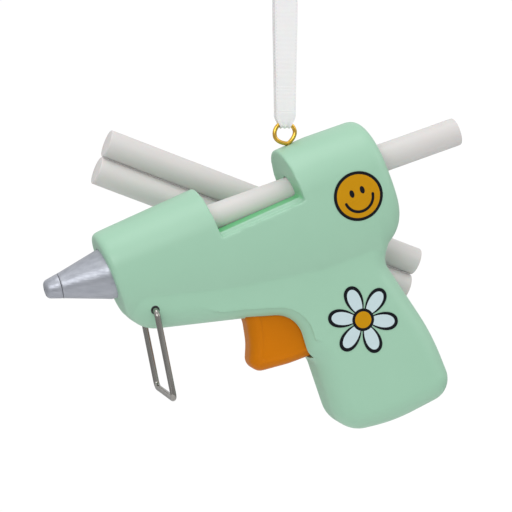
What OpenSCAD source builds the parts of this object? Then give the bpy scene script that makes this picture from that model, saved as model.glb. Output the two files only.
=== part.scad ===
// Hanging mini glue gun with a wire stand, spare sticks and a ribbon loop.
// Gun coordinates: the stick's axis is X (rear is +X), Z is up from it, Y is across.
// The whole gun is then tilted as it hangs, below the top of the ribbon loop.

/* [Body] */
// length from the collar's front face to the body's front face
barrel_len = 50.4; // [42:0.1:62]
// length of the collar, front face to rear face
collar_len = 23.2; // [20:0.1:30]
// half width and top height of the collar
collar_r = 11.3; // [10.6:0.1:14]
// half width of the barrel at its front
front_r = 9.3; // [8.8:0.1:11.5]
// height of the barrel's top above the stick axis, at the front
front_top = 6.3; // [6:0.1:8]
// thickness of the keel and the grip
grip_w = 16.8; // [15:0.1:22]
// distance from the stick axis down to the end of the grip
grip_drop = 64.8; // [58:0.1:80]
// wall thickness of the shells
wall = 1.6; // [1.2:0.05:2]
// nose-down angle at which the gun hangs
tilt = 18; // [0:0.5:30]

/* [Stick slot] */
// length of the slot in front of the collar
slot_len = 22.6; // [18:0.1:28]
// how far the slot's floor lies below the stick axis, at its front
floor_drop = 2.5; // [2:0.1:3]
// angle at which the floor rises towards the collar
floor_rise = 4.4; // [0:0.1:6]

/* [Glue sticks] */
// diameter of a glue stick
stick_d = 7.2; // [6:0.05:7.6]
// length left of the loaded stick
stick_len = 81; // [60:0.5:100]
// length of a spare stick
spare_len = 88.5; // [60:0.5:110]
// clearance around the stick in its guides
stick_fit = 0.3; // [0.2:0.05:0.5]

/* [Nozzle] */
// length of the cone
cone_len = 11.8; // [9:0.1:16]
// diameter of the cone where it meets the body
cone_d = 12.9; // [11:0.1:14]
// diameter of the cone at the tip cap
cone_end_d = 6.2; // [5.5:0.1:7.4]
// length of the tip cap
tip_len = 3.8; // [2.6:0.1:5]
// diameter of the outlet
outlet_d = 1.5; // [1:0.1:2.2]
// upward angle of the nozzle against the stick axis
nozzle_up = 4.6; // [0:0.1:7]

/* [Trigger] */
// thickness of the trigger
trigger_w = 10.4; // [8:0.1:11]
// travel of the trigger
trigger_deg = 12; // [8:0.5:13]
// length of the trigger's arm above its pin
arm_len = 12.8; // [11:0.1:13.4]
// diameter of the trigger pin
pin_d = 3; // [2.4:0.1:3.4]
// outer diameter of the return spring
spring_d = 5; // [4:0.1:5.6]
// wire diameter of the return spring
spring_wire = 0.7; // [0.5:0.05:0.9]

/* [Stand] */
// wire diameter of the stand
stand_wire = 1.5; // [1.2:0.05:1.8]
// length of the stand's legs
stand_leg = 22.4; // [18:0.1:24]

/* [Hanger] */
// outer diameter of the screw eye's ring
eye_d = 6.35; // [6:0.05:7]
// wire diameter of the screw eye
eye_wire = 1.05; // [0.9:0.05:1.2]
// thickness of the ribbon's solid
ribbon_t = 0.5; // [0.4:0.05:0.6]

/* [Stickers] */
// diameter of the smiling-face sticker
smiley_d = 12.4; // [9:0.1:14]
// radius of the daisy sticker at its petal tips
daisy_r = 9.2; // [6:0.1:9.5]
// thickness of a sticker
film = 0.15; // [0.1:0.05:0.2]

/* [Screws] */
// shank diameter of the shell screws
screw_d = 2.2; // [1.8:0.1:2.4]
// head diameter of the shell screws
head_d = 4.2; // [3.6:0.1:4.4]

/* [Fits] */
// radial running clearance of a pin in its hole
run_fit = 0.05; // [0.02:0.01:0.1]
// clearance between parts that move past each other
gap = 0.3; // [0.2:0.05:0.4]

/* [Hidden] */
$fn = 48;
collar_x = -2.6;
front_x = collar_x - barrel_len;
rear_x = collar_x + collar_len;
slot_x = collar_x - slot_len;
slot_run = slot_len / cos(floor_rise);
grip_h = grip_w / 2;
stick_r = stick_d / 2;
guide_r = stick_r + stick_fit;
front_lean = -0.066;
front_out = 0.4;
rear_lean = -0.08;

// places of the pivots, from the corners they belong to
pin_x = -19.5;
pin_z = -21.8;
stand_x = front_x + 7;
stand_z = -15.2;
eye_x = 0.4;
eye_z = collar_r + 2.8;
arm_lean = trigger_deg / 2;
arm_x = pin_x + arm_len * sin(arm_lean);
arm_z = pin_z + arm_len * cos(arm_lean);
arm_w = 3;
stud_r = 1;
link_t = 1.2;
link_y = arm_w / 2 + 0.2;

// feed parts
tube_t = 1;
tube_r = guide_r + tube_t;
chamber_x = front_x + 3.6;
chamber_len = 8;
gasket_t = 0.8;
tube_x = chamber_x + chamber_len + gasket_t;
carriage_x = 3;
carriage_len = 10;
carriage_r = stick_r + run_fit + 1.75;
stick_front = slot_x - 12.3;
spigot_r = 4;
nozzle_z = -4;
nozzle_x = front_x - 0.32;
flange_z = -1.2;

// bush, screws and clip
bush_r = guide_r + 1.4;
screw_at = [[front_x + 18.5, -17.8], [rear_x - 6.2, -13.6], [9.2, -31.5], [4, -grip_drop + 9.5]];
boss_r = screw_d / 2 + 1.7;
head_h = 1.5;
head_y = 4.4;
spare_gap = 0.1;
spare_turn = 39.4;
spare_x = -8.5;
spare_z = -6.4;
clip_along = 15;
clip_len = 12;
clip_t = 1.2;
pad_y = collar_r + 0.3;
spare_y = pad_y + clip_t + stick_r + run_fit;
clip_x = spare_x + clip_along * cos(spare_turn);
clip_z = spare_z - clip_along * sin(spare_turn);
peg_r = 1.5;

// stand
stand_y = grip_h + 0.5 + stand_wire / 2;
bend_r = 1.6;
stand_lean = 6.8;
bush_t = 0.3;
stand_hole = stand_wire / 2 + run_fit + bush_t;

// spring
spring_z = -34;
spring_turns = 6;
trigger_back = -8.8;
seat_x = 3.4;

// stickers
smiley_x = rear_x - 9.9;
smiley_z = -5.2;
daisy_x = 3.2;
daisy_z = -35.6;

// body sections along X: top, middle, bottom and half width
function top_z(x) = lookup(x, [[front_x, front_top], [slot_x, front_top + 2.4],
    [collar_x, collar_r - 0.4], [collar_x + 8, collar_r + 0.2], [rear_x, collar_r + 0.2]]);
function mid_z(x) = lookup(x, [[front_x, -2.4], [slot_x, -1], [collar_x, 0], [rear_x, 0]]);
function low_z(x) = lookup(x, [[front_x, -16], [slot_x, -22], [collar_x, -25.5],
    [rear_x - 8, -25], [rear_x - 5.5, -21.2], [rear_x - 3, -19.2], [rear_x, -16.2]]);
function half_y(x) = lookup(x, [[front_x, front_r], [slot_x, (front_r + collar_r * 3) / 4],
    [collar_x, collar_r], [rear_x, collar_r]]);
function lean(x) = lookup(x, [[front_x, front_lean], [slot_x, 0], [collar_x, 0], [rear_x, rear_lean]]);
function out(x) = lookup(x, [[front_x, front_out], [slot_x, 0]]);
function spow(v, p) = sign(v) * pow(abs(v), p);
sides = 32;
function section(x, inset) = [for (j = [0 : sides - 1])
    let (a = 360 * j / sides, m = mid_z(x), c = cos(a), s = sin(a),
        up = s >= 0,
        y = (half_y(x) - inset) * spow(c, up ? 1 : 0.77),
        z = up ? m + (top_z(x) - inset - m) * s : m - (m - low_z(x) - inset) * spow(-s, 0.77))
    [x + lean(x) * z - out(x), y, z]];

// closed skin over rings of equal point count
function skin_faces(r, n) = concat(
    [for (i = [0 : r - 2], j = [0 : n - 1]) [i * n + j, (i + 1) * n + (j + 1) % n, i * n + (j + 1) % n]],
    [for (i = [0 : r - 2], j = [0 : n - 1]) [i * n + j, (i + 1) * n + j, (i + 1) * n + (j + 1) % n]],
    [[for (j = [0 : n - 1]) j]], [[for (j = [n - 1 : -1 : 0]) (r - 1) * n + j]]);
module skin(rings) {
    polyhedron(points = [for (r = rings, p = r) p],
        faces = skin_faces(len(rings), len(rings[0])), convexity = 8);
}

// outer stations: x from the end faces, and the rounding there
front_st = [[0, 2.2], [0.3, 1.2], [0.9, 0.45], [1.8, 0]];
rear_st = [[3.2, 0], [1.8, 0.35], [0.9, 0.95], [0.3, 1.8], [0, 2.8]];
mid_st = [front_x + 14, slot_x, slot_x + slot_len / 2, collar_x, collar_x + 4, collar_x + 8,
    rear_x - 10, rear_x - 8, rear_x - 5.5];
module barrel_outer(grow = 0) {
    skin(concat([for (s = front_st) section(front_x + s[0], s[1] - grow)],
        [for (x = mid_st) section(x, -grow)],
        [for (s = rear_st) section(rear_x - s[0], s[1] - grow)]));
}
module barrel_inner() {
    skin(concat([section(front_x + wall, wall + 1.2), section(front_x + wall + 1.4, wall)],
        [for (x = mid_st) section(x, wall)],
        [section(rear_x - wall - 2, wall), section(rear_x - wall, wall + 1.6)]));
}

// rounded outline: corners [x, z, radius] taken anticlockwise, as points with normals
function unit(v) = v / norm(v);
function turned(v, a) = [v[0] * cos(a) - v[1] * sin(a), v[0] * sin(a) + v[1] * cos(a)];
function corner(a, b, c, r, step) = let (
    d1 = unit([b[0] - a[0], b[1] - a[1]]), d2 = unit([c[0] - b[0], c[1] - b[1]]),
    t = atan2(d1[0] * d2[1] - d1[1] * d2[0], d1[0] * d2[0] + d1[1] * d2[1]),
    s = sign(t), p = [b[0], b[1]] - d1 * (r * tan(abs(t) / 2)),
    m = p + [-d1[1], d1[0]] * (r * s), n = max(1, ceil(abs(t) / step)))
    [for (k = [0 : n]) let (q = t * k / n, d = turned(d1, q)) [m + turned(p - m, q), [d[1], -d[0]]]];
function outline(c, step = 16) = let (n = len(c)) [for (i = [0 : n - 1])
    each corner(c[(i + n - 1) % n], c[i], c[(i + 1) % n], c[i][2], step)];
function shrunk(o, d) = [for (p = o) p[0] - p[1] * d];
module pillow(c, half, edge, inset = 0, steps = 4, step = 16) {
    o = outline(c, step);
    side = [for (k = [0 : steps]) let (a = 90 * k / steps)
        [half - edge + edge * cos(a), edge * (1 - sin(a))]];
    skin(concat([for (s = side) [for (p = shrunk(o, s[1] + inset)) [p[0], s[0], p[1]]]],
        [for (k = [steps : -1 : 0]) [for (p = shrunk(o, side[k][1] + inset)) [p[0], -side[k][0], p[1]]]]));
}
slab_edge = 4.2;
slab = [[front_x + 2.6, -3, 5], [front_x + 0.3, -9, 5], [front_x + 1.2, -19.3, 7.2],
    [-25.5, -25.6, 20], [-12.7, -29.4, 6.5], [-12.8, -39.6, 5], [-10.9, -42.6, 4],
    [-10.5, -grip_drop + 2.5, 6.2], [4, -grip_drop + 0.5, 45], [rear_x + 1.3, -grip_drop + 2.6, 4.9],
    [rear_x - 0.1, -46, 60], [rear_x - 6.4, -24.6, 4.2], [rear_x - 3.7, -19.2, 5], [rear_x - 5, -3, 5]];

// a bar across the gun at [x, z]
module across(at, r, y0, y1) translate([at[0], y1, at[1]]) rotate([90, 0, 0]) cylinder(r = r, h = y1 - y0);
// a bar along the stick axis
module along(r, x0, x1, z = 0) translate([x0, 0, z]) rotate([0, 90, 0]) cylinder(r = r, h = x1 - x0);
module box(x0, x1, y0, y1, z0, z1) translate([x0, y0, z0]) cube([x1 - x0, y1 - y0, z1 - z0]);
// a flat plate in the XZ plane, from y0 to y1
module plate(y0, y1) translate([0, y1, 0]) rotate([90, 0, 0]) linear_extrude(height = y1 - y0) children();
module placed() translate([0, 0, -loop_h]) rotate([0, -tilt, 0]) translate([-eye_x, 0, -eye_z]) children();

// the nozzle's own frame: its axis is +Z, from the middle of the body's front face
module on_nozzle() translate([nozzle_x, 0, nozzle_z])
    rotate([0, -90 + nozzle_up, 0]) children();

trigger_corners = [[-24.3, -21, 2], [-24.2, -28, 3], [-25, -33, 14], [-27.2, -38.4, 1.6],
    [-25.2, -39.9, 1.6], [-17, -40.8, 20], [trigger_back, -40.6, 1.6], [trigger_back, -31, 3],
    [pin_x + 4.6, -22, 3], [pin_x, pin_z + 4.2, 3]];
opening = [[-24.6, -18], [-24.6, -30], [-15, -41.05], [trigger_back + 4, -41.05], [trigger_back + 4, -18]];

// what the shells keep inside their walls
module ribs() {
    on_slot() box(-wall, slot_run + wall, -20, 20, -wall - 1.6, 30);
    box(front_x, front_x + wall + 1, -20, 20, -20, 20);
    box(chamber_x + 3, chamber_x + 4.4, -20, 20, -14, 20);
    box(tube_x + 5, tube_x + 6.4, -20, 20, -14, 20);
    along(bush_r + 1.8, rear_x - 6, rear_x + 3);
    box(carriage_x - 4, carriage_x + carriage_len + 1, carriage_r + gap, 20, -1, 1);
    box(carriage_x - 4, carriage_x + carriage_len + 1, -20, -carriage_r - gap, -1, 1);
    box(eye_x - 3, eye_x + 2.4, -2.4, 2.4, carriage_r + gap + 0.1, 20);
    box(seat_x, seat_x + 1.4, -20, 20, spring_z - 3.6, spring_z + 3.6);
    for (s = screw_at) across(s, boss_r, -20, 20);
    for (s = [-1, 1]) scale_y(s) across([pin_x, pin_z], pin_d / 2 + 1.6, trigger_w / 2 + 0.2, 20);
    for (s = [-1, 1]) scale_y(s) across([stand_x, stand_z], stand_hole + 1.2, grip_h - wall - 1.6, 20);
}
module on_slot() translate([slot_x, 0, -floor_drop]) rotate([0, -floor_rise, 0]) children();
module slot_cut() {
    on_slot() rotate([90, 0, 90]) linear_extrude(height = slot_run)
        polygon([[-20, 30], [-20, -1.3], [-10.5, -1.3], [-9.2, 0],
            [9.2, 0], [10.5, -1.3], [20, -1.3], [20, 30]]);
}
module chamber_form(r, x0, x1) {
    along(r, x0, x1);
    along(r, x0, x1, nozzle_z - 0.3);
    box(x0, x1, -r, r, nozzle_z - 0.3, 0);
}
// walls, ribs and bosses as one mesh, before the round holes
module shell_walls(sign_y) {
    $fn = 20;
    intersection() {
        difference() {
            union() {
                barrel_outer();
                pillow(slab, grip_h, slab_edge);
                if (sign_y > 0) across([clip_x, clip_z], 5, 6, pad_y);
            }
            difference() {
                union() {
                    barrel_inner();
                    pillow(slab, grip_h - wall, slab_edge - 1, wall, 2, 24);
                }
                ribs();
                if (sign_y > 0) across([clip_x, clip_z], peg_r + 1.2, 5.5, 12);
            }
            slot_cut();
            chamber_form(tube_r, chamber_x - 0.01, tube_x + 0.01);
            plate(-trigger_w / 2 - gap, trigger_w / 2 + gap) polygon(opening);
            box(pin_x - 5, carriage_x + carriage_len, -arm_w / 2 - gap, link_y + link_t + gap,
                arm_z - 3.4, -floor_drop - wall - 1.7);
        }
        box(-200, 200, sign_y > 0 ? 0 : -200, sign_y > 0 ? 200 : 0, -200, 200);
    }
}
module shell(sign_y) {
    difference() {
        resize([0, 0, 0]) shell_walls(sign_y);
        along(tube_r, tube_x - 1, slot_x + 0.1);
        along(guide_r, slot_x - 1, rear_x + 5);
        along(carriage_r + gap, collar_x + wall, carriage_x + carriage_len + gap);
        on_nozzle() translate([0, 0, -6]) cylinder(r = spigot_r, h = 8);
        on_nozzle() translate([0, 0, flange_z]) cylinder(r = cone_d / 2, h = 8);
        along(bush_r, rear_x - 5, rear_x + 5);
        across([pin_x, pin_z], pin_d / 2, -grip_h + 0.9, grip_h - 0.9);
        across([stand_x, stand_z], stand_hole, -20, 20);
        translate([eye_x, 0, eye_z - 8.4]) cylinder(r = eye_wire / 2 + 0.25, h = 12);
        if (sign_y > 0) {
            for (s = screw_at) across(s, screw_d / 2 + 0.15, -1, 20);
            for (s = screw_at) across(s, head_d / 2 + 0.2, head_y, 20);
            across([clip_x, clip_z], peg_r, 6.5, 20);
        } else {
            for (s = screw_at) across(s, screw_d / 2, -5.6, 1);
        }
    }
}

module left_shell() color([0.63, 0.79, 0.70]) placed() shell(-1);
module right_shell() color([0.61, 0.77, 0.68]) placed() shell(1);

// nozzle group
module nozzle() color([0.70, 0.71, 0.74]) placed() on_nozzle() rotate_extrude()
    polygon([[3.2, -6], [spigot_r, -6], [spigot_r, flange_z], [cone_d / 2, flange_z], [cone_d / 2, 0.5],
        [cone_d / 2 - 0.3, 0.8], [(cone_d + cone_end_d) / 4 + 0.05, cone_len / 2],
        [cone_end_d / 2, cone_len], [1.8, cone_len], [1.8, cone_len + 1.8], [outlet_d / 2, cone_len + 1.8],
        [outlet_d / 2, cone_len - 1], [3.2, -2]]);
module nozzle_tip() color([0.62, 0.63, 0.66]) placed() on_nozzle() translate([0, 0, cone_len + 0.2])
    rotate_extrude() polygon([[1.8, 0], [cone_end_d / 2 - 0.15, 0], [cone_end_d / 2 - 0.75, tip_len - 0.7],
        [cone_end_d / 2 - 1.0, tip_len - 0.25], [cone_end_d / 2 - 1.5, tip_len], [outlet_d / 2, tip_len],
        [outlet_d / 2, 1.6], [1.8, 1.6]]);
module melt_chamber() color([0.75, 0.75, 0.78]) placed() difference() {
    chamber_form(tube_r - 0.1, chamber_x + 0.4, chamber_x + chamber_len);
    chamber_form(guide_r - 0.6, chamber_x + 3.5, chamber_x + chamber_len - 1);
    along(guide_r, chamber_x + chamber_len - 2, chamber_x + chamber_len + 1);
    on_nozzle() translate([0, 0, -6.02]) cylinder(r = spigot_r, h = 9);
}
module tube_gasket() color([0.75, 0.25, 0.15]) placed() difference() {
    along(tube_r - 0.1, tube_x - gasket_t, tube_x);
    along(guide_r, tube_x - 2, tube_x + 1);
}
module barrel_tube() color([0.80, 0.80, 0.82]) placed() difference() {
    along(tube_r, tube_x, slot_x - 0.7);
    along(guide_r, tube_x - 1, slot_x + 1);
}
module inlet_bush() color([0.25, 0.26, 0.28]) placed() difference() {
    along(bush_r, rear_x - 5, rear_x - 0.6);
    along(guide_r, rear_x - 6, rear_x + 1);
}
module glue_stick() color([0.86, 0.86, 0.84, 0.9]) placed()
    along(stick_r, stick_front, stick_front + stick_len);
module feed_carriage() color([0.30, 0.32, 0.36]) placed() difference() {
    union() {
        along(carriage_r, carriage_x, carriage_x + carriage_len);
        box(carriage_x + 1, carriage_x + 5, -arm_w / 2, arm_w / 2, arm_z - 1.9, -stick_r - 0.6);
    }
    along(stick_r + run_fit, carriage_x - 1, carriage_x + carriage_len + 1);
    across([carriage_x + 3, arm_z], stud_r, -5, 5);
}
module link_arm() color([0.72, 0.72, 0.75]) placed() {
    plate(link_y, link_y + link_t) polygon([[arm_x, arm_z - 1.8], [carriage_x + 3, arm_z - 1.8],
        [carriage_x + 3, arm_z + 1.8], [arm_x, arm_z + 1.8]]);
    for (x = [arm_x, carriage_x + 3]) across([x, arm_z], 1.8, link_y, link_y + link_t);
    across([arm_x, arm_z], stud_r, -arm_w / 2, link_y);
    across([carriage_x + 3, arm_z], stud_r, -arm_w / 2, link_y);
}
module trigger_form() {
    pillow(trigger_corners, trigger_w / 2, 1.5, 0, 3, 20);
    across([arm_x, arm_z], 2.2, -arm_w / 2, arm_w / 2);
    plate(-arm_w / 2, arm_w / 2) polygon([[pin_x - 2.4, pin_z], [pin_x + 2.6, pin_z],
        [arm_x + 2.1, arm_z], [arm_x - 2.1, arm_z]]);
    along(spring_d / 2 - spring_wire - 0.2, trigger_back - 0.5, trigger_back + 2, spring_z);
}
module trigger() color([0.83, 0.44, 0.08]) placed() difference() {
    resize([0, 0, 0]) trigger_form();
    across([pin_x, pin_z], pin_d / 2 + run_fit, -20, 20);
    across([arm_x, arm_z], stud_r + 0.14, -5, 5);
}
module trigger_pin() color([0.55, 0.56, 0.58]) placed()
    across([pin_x, pin_z], pin_d / 2, -grip_h + 0.9, grip_h - 0.9);

// compression spring between the trigger's back and its seat
module return_spring() color([0.6, 0.6, 0.62]) placed() {
    r = spring_d / 2 - spring_wire / 2;
    x0 = trigger_back + 0.1 + spring_wire / 2;
    x1 = seat_x - 0.1 - spring_wire / 2;
    n = spring_turns * 12;
    skin([for (i = [0 : n]) let (a = 30 * i, x = x0 + (x1 - x0) * i / n, u = [0, cos(a), sin(a)])
        [for (k = [0 : 5]) [x, 0, spring_z] + u * (r + spring_wire / 2 * cos(60 * k))
            - [spring_wire / 2 * sin(60 * k), 0, 0]]]);
}

// stand: a U of wire whose ends turn inwards
module wire_stand() color([0.62, 0.61, 0.59]) placed()
    translate([stand_x, 0, stand_z]) rotate([0, stand_lean, 0]) {
    w = stand_wire / 2;
    for (s = [-1, 1]) scale_y(s) {
        translate([0, grip_h - wall - 0.8, 0]) rotate([-90, 0, 0])
            cylinder(r = w, h = stand_y - bend_r - grip_h + wall + 0.8);
        translate([0, stand_y - bend_r, -bend_r]) rotate([0, -90, 0])
            rotate_extrude(angle = 90) translate([bend_r, 0]) circle(r = w);
        translate([0, stand_y, -stand_leg + bend_r]) cylinder(r = w, h = stand_leg - 2 * bend_r);
        translate([0, stand_y - bend_r, -stand_leg + bend_r]) rotate([0, -90, 0]) rotate([0, 0, 90])
            rotate_extrude(angle = 90) translate([bend_r, 0]) circle(r = w);
    }
    translate([0, -stand_y + bend_r, -stand_leg]) rotate([-90, 0, 0])
        cylinder(r = w, h = 2 * stand_y - 2 * bend_r);
}
module scale_y(s) if (s > 0) children(); else mirror([0, 1, 0]) children();
module stand_bushes() color([0.25, 0.25, 0.26]) placed() for (s = [-1, 1]) scale_y(s) difference() {
    across([stand_x, stand_z], stand_hole, grip_h - wall - 1.2, grip_h - 0.05);
    across([stand_x, stand_z], stand_wire / 2 + run_fit, 0, 20);
}

// spare sticks and their clip, in a frame along the sticks
module on_spares() translate([spare_x, spare_y, spare_z]) rotate([0, spare_turn, 0]) children();
spare_dz = (stick_d + spare_gap) / 2;
module spare(z) placed() on_spares() translate([-spare_len / 2, 0, z]) rotate([0, 90, 0])
    cylinder(r = stick_r, h = spare_len);
module spare_stick_upper() color([0.84, 0.84, 0.82]) spare(spare_dz);
module spare_stick_lower() color([0.82, 0.82, 0.80]) spare(-spare_dz);
module stick_clip() color([0.60, 0.76, 0.67]) placed() {
    on_spares() translate([clip_along - clip_len / 2, 0, 0]) rotate([90, 0, 90])
        linear_extrude(height = clip_len) difference() {
            union() {
                for (z = [-spare_dz, spare_dz]) translate([0, z]) circle(r = stick_r + run_fit + clip_t);
                translate([-stick_r - run_fit - clip_t, -spare_dz]) square([clip_t + 2, 2 * spare_dz]);
            }
            for (z = [-spare_dz, spare_dz]) translate([0, z]) circle(r = stick_r);
            translate([stick_r * 0.45, -20]) square([20, 40]);
        }
    across([clip_x, clip_z], peg_r, 7, pad_y + 0.3);
}

// screw eye: a ring on a shank that goes down between the shells
module screw_eye() color([0.75, 0.55, 0.12]) placed() translate([eye_x, 0, eye_z]) {
    rotate([90, 0, 0]) rotate_extrude() translate([eye_d / 2 - eye_wire / 2, 0])
        circle(r = eye_wire / 2, $fn = 24);
    translate([0, 0, -8]) cylinder(r = eye_wire / 2, h = 8 - eye_d / 2 + eye_wire / 2);
    for (i = [0 : 5]) translate([0, 0, -7.6 + i * 0.7])
        cylinder(r1 = eye_wire / 2, r2 = eye_wire / 2 + 0.24, h = 0.4);
}

// ribbon loop: middle line points [y, z above the ring, half width]; the back ply mirrors the front
ribbon_pts = [[0, 1.25, 1.0], [-0.75, 1.6, 1.05], [-1.05, 2.5, 1.5], [-1.2, 4, 2.5], [-1.3, 6, 2.5],
    [-1.3, 12, 2.6], [-1.3, 20, 2.75], [-1.3, 28, 2.9], [-1.3, 36, 2.95], [-1.6, 39, 2.95],
    [-2.2, 41.5, 2.95], [-2.4, 43.5, 2.95], [-1.7, 45.2, 2.95], [0, 46, 2.95]];
loop_h = 46 - ribbon_t / 2;
ribbon_all = concat(ribbon_pts, [for (i = [len(ribbon_pts) - 2 : -1 : 1])
    [-ribbon_pts[i][0], ribbon_pts[i][1], ribbon_pts[i][2]]]);
module ribbon_loop() color([0.93, 0.93, 0.93]) translate([0, 0, -loop_h]) {
    n = len(ribbon_all);
    t = ribbon_t / 2;
    rings = [for (i = [0 : n - 1]) let (
        a = ribbon_all[(i + n - 1) % n], b = ribbon_all[i], c = ribbon_all[(i + 1) % n],
        d = unit([c[0] - a[0], c[1] - a[1]]), m = [-d[1], d[0]])
        [for (k = [[1, 0], [0.9, 0.7], [0, 1], [-0.9, 0.7], [-1, 0], [-0.9, -0.7], [0, -1], [0.9, -0.7]])
            [k[0] * b[2], b[0] + m[0] * k[1] * t, b[1] + m[1] * k[1] * t]]];
    polyhedron(points = [for (r = rings, p = r) p], faces = concat(
        [for (i = [0 : n - 1], j = [0 : 7])
            [i * 8 + j, i * 8 + (j + 1) % 8, ((i + 1) % n) * 8 + (j + 1) % 8]],
        [for (i = [0 : n - 1], j = [0 : 7])
            [i * 8 + j, ((i + 1) % n) * 8 + (j + 1) % 8, ((i + 1) % n) * 8 + j]]), convexity = 8);
}

// stickers lie on the near shell
module smiley_sticker() color([0.76, 0.55, 0.03]) placed() resize([0, 0, 0]) intersection() {
    across([smiley_x, smiley_z], smiley_d / 2, -20, -5);
    difference() {
        barrel_outer(film);
        barrel_outer();
    }
}
module daisy_shape() {
    circle(r = 2.9);
    for (a = [0 : 60 : 300]) rotate(a + 37) {
        translate([daisy_r - 2.75, 0]) circle(r = 2.75);
        polygon([[0, -1], [daisy_r - 3.4, -2.67], [daisy_r - 3.4, 2.67], [0, 1]]);
    }
}
module daisy_sticker() color([0.80, 0.87, 0.90]) placed()
    plate(-grip_h - film, -grip_h) translate([daisy_x, daisy_z]) daisy_shape();

module shell_screws() color([0.55, 0.55, 0.57]) placed() for (s = screw_at) {
    across(s, screw_d / 2, -5, head_y + 0.01);
    difference() {
        across(s, head_d / 2, head_y, head_y + head_h);
        box(s[0] - 1.6, s[0] + 1.6, head_y + head_h - 0.7, 20, s[1] - 0.3, s[1] + 0.3);
        box(s[0] - 0.3, s[0] + 0.3, head_y + head_h - 0.7, 20, s[1] - 1.6, s[1] + 1.6);
    }
}

left_shell();
right_shell();
nozzle();
nozzle_tip();
melt_chamber();
tube_gasket();
barrel_tube();
inlet_bush();
glue_stick();
feed_carriage();
link_arm();
trigger();
trigger_pin();
return_spring();
wire_stand();
stand_bushes();
spare_stick_upper();
spare_stick_lower();
stick_clip();
screw_eye();
ribbon_loop();
smiley_sticker();
daisy_sticker();
shell_screws();
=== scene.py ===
# %% [markdown]
# # A hanging mini glue gun
# The object is a small glue gun that hangs on a satin ribbon. Its measured model gives every piece a
# place and a moving body. This lesson builds the visible skin of each piece on top of that frame: a
# soft painted body, a silver nozzle, an orange trigger, a wire stand, milky glue sticks, printed
# stickers and a ribbon. The frame is loaded first, because all later places come from it.

# %% Load the frame
import math

import bmesh
import bpy
from mathutils import Matrix, Vector
from mathutils.bvhtree import BVHTree
from mathutils import noise as random_field


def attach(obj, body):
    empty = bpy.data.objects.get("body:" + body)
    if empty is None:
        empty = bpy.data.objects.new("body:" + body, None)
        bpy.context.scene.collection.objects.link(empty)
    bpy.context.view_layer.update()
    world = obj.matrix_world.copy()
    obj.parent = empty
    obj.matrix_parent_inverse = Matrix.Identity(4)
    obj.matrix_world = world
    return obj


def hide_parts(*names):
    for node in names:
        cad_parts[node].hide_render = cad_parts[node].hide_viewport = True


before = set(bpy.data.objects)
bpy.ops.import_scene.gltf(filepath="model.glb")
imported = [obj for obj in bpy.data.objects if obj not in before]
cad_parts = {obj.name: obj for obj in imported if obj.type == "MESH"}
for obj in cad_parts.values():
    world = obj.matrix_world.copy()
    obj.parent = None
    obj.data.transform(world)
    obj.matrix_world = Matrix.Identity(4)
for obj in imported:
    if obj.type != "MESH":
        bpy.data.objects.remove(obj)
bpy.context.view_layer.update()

# %% [markdown]
# ## Two coordinate frames
# The gun is easiest to shape lying straight, with its glue stick along X and sizes in millimetres.
# It hangs nose-down by 18 degrees, below the top of the ribbon loop. One matrix takes a finished
# shape from the straight frame to its place, so a piece's object can stay at the origin.

# %% The straight gun frame
TILT = math.radians(18)
LOOP_HEIGHT = 45.75
EYE = Vector((0.4, 0, 14.1))
SCALE = Matrix.Scale(0.001, 4)
HANG = SCALE @ Matrix.Translation((0, 0, -LOOP_HEIGHT))
GUN = HANG @ Matrix.Rotation(-TILT, 4, "Y") @ Matrix.Translation(-EYE)
print("ring centre in metres:", tuple(round(c, 5) for c in GUN @ EYE))

# %% [markdown]
# ## Camera
# A long lens from slightly above and from the nozzle's side keeps the outline nearly flat, as a
# product picture does.

# %% Place the camera
CAMERA_AT = Vector((-0.14901, -0.52835, -0.01881))
CAMERA_TO = Vector((-0.00744, 0.0, -0.07630))
camera_data = bpy.data.cameras.new("product_camera")
camera_data.lens = 154.69
camera_data.sensor_width = 36
camera_data.clip_start = 0.01
camera = bpy.data.objects.new("product_camera", camera_data)
camera.location = CAMERA_AT
camera.rotation_euler = (CAMERA_TO - CAMERA_AT).to_track_quat("-Z", "Y").to_euler()
bpy.context.scene.collection.objects.link(camera)
bpy.context.scene.camera = camera
print("camera distance:", round((CAMERA_TO - CAMERA_AT).length, 3))

# %% [markdown]
# ## Small helpers
# Every piece ends the same way: its bmesh is taken to its place, becomes a mesh with soft faces and
# sharp edges, gets its finishes, rides on a body and stands for its node.

# %% Finish a piece
def finished(name, bm, place, body, finishes, nodes=(), sharp=38):
    bm.transform(place)
    bmesh.ops.recalc_face_normals(bm, faces=bm.faces[:])
    mesh = bpy.data.meshes.new(name)
    bm.to_mesh(mesh)
    bm.free()
    return shown(name, mesh, body, finishes, nodes, sharp)


def shown(name, mesh, body, finishes, nodes=(), sharp=38):
    mesh.polygons.foreach_set("use_smooth", [True] * len(mesh.polygons))
    mesh.set_sharp_from_angle(angle=math.radians(sharp))
    for finish in finishes:
        mesh.materials.append(finish)
    piece = bpy.data.objects.new(name, mesh)
    bpy.context.scene.collection.objects.link(piece)
    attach(piece, body)
    if nodes:
        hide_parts(*nodes)
    print(f"{name}: {len(mesh.polygons)} faces")
    return piece


def joined(target, *others):
    for other in others:
        copy = bpy.data.meshes.new("joining")
        other.to_mesh(copy)
        other.free()
        target.from_mesh(copy)
        bpy.data.meshes.remove(copy)
    return target

# %% [markdown]
# ## Lathe, bar and plate
# Most hardware starts as a lathe profile, a round bar or a flat outline. The lathe spins a profile
# about Z. The bar is a circle that is extruded. The plate is an outline whose corners are true arcs.
# It is extruded, and its rim is bevelled.

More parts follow.
